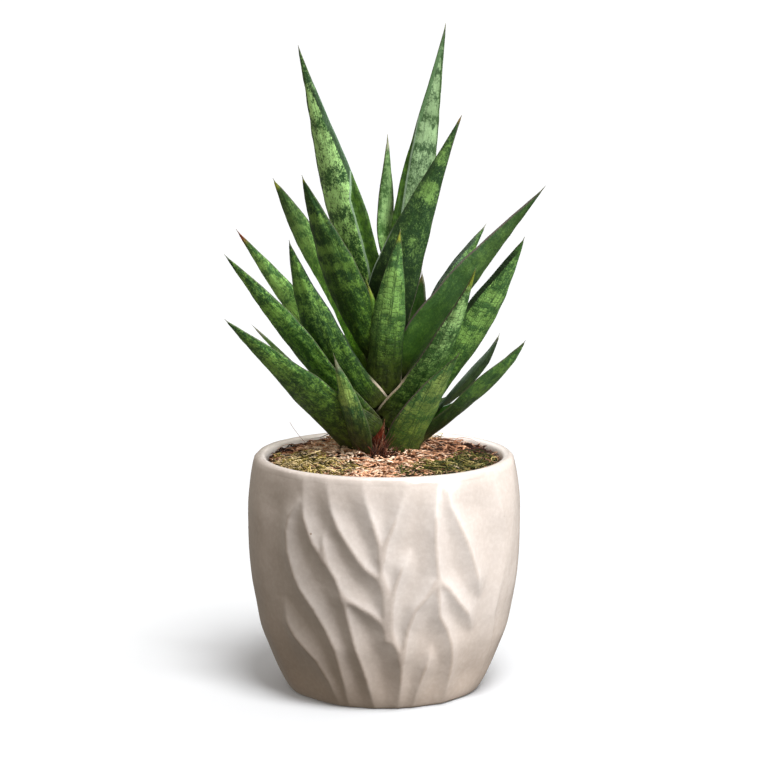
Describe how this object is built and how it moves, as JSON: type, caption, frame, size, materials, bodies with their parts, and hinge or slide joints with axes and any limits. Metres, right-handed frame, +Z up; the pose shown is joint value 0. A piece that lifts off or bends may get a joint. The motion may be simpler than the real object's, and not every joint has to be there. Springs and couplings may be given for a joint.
{
  "type": "potted snake plant",
  "caption": "Potted snake plant: a clump of clasping, pointed, cross-banded leaves in a faceted ceramic pot with a coir and moss dressing.",
  "frame": {"origin": "middle of the pot's flat foot, where the plant stands", "axes": "+Z up through the pot and the clump; -Y towards the front, the side that faces the viewer; +X to the viewer's right"},
  "size_m": [0.162, 0.14, 0.3406],
  "materials": {
    "glaze": "gloss",
    "potting_mix": "matte",
    "coir": "matte",
    "moss": "matte",
    "stem_skin": "matte",
    "leaf_skin": "satin",
    "dry_scale": "matte"
  },
  "bodies": {
    "root": {"pot": "glaze", "potting_mix": "potting_mix", "coir_dressing": "coir", "moss_front_left": "moss", "moss_front_right": "moss", "moss_back": "moss", "stem": "stem_skin", "leaf_01": "leaf_skin", "leaf_02": "leaf_skin", "leaf_03": "leaf_skin", "leaf_04": "leaf_skin", "leaf_05": "leaf_skin", "leaf_06": "leaf_skin", "leaf_07": "leaf_skin", "leaf_08": "leaf_skin", "leaf_09": "leaf_skin", "leaf_10": "leaf_skin", "leaf_11": "leaf_skin", "leaf_12": "leaf_skin", "leaf_13": "leaf_skin", "leaf_14": "leaf_skin", "leaf_15": "leaf_skin", "leaf_16": "leaf_skin", "leaf_17": "leaf_skin", "leaf_18": "leaf_skin", "leaf_19": "leaf_skin", "leaf_20": "leaf_skin", "leaf_21": "leaf_skin", "leaf_22": "leaf_skin", "leaf_23": "leaf_skin", "leaf_24": "leaf_skin", "leaf_25": "leaf_skin", "leaf_26": "leaf_skin", "dry_scale_front": "dry_scale", "dry_scale_right": "dry_scale"}
  },
  "joints": []
}
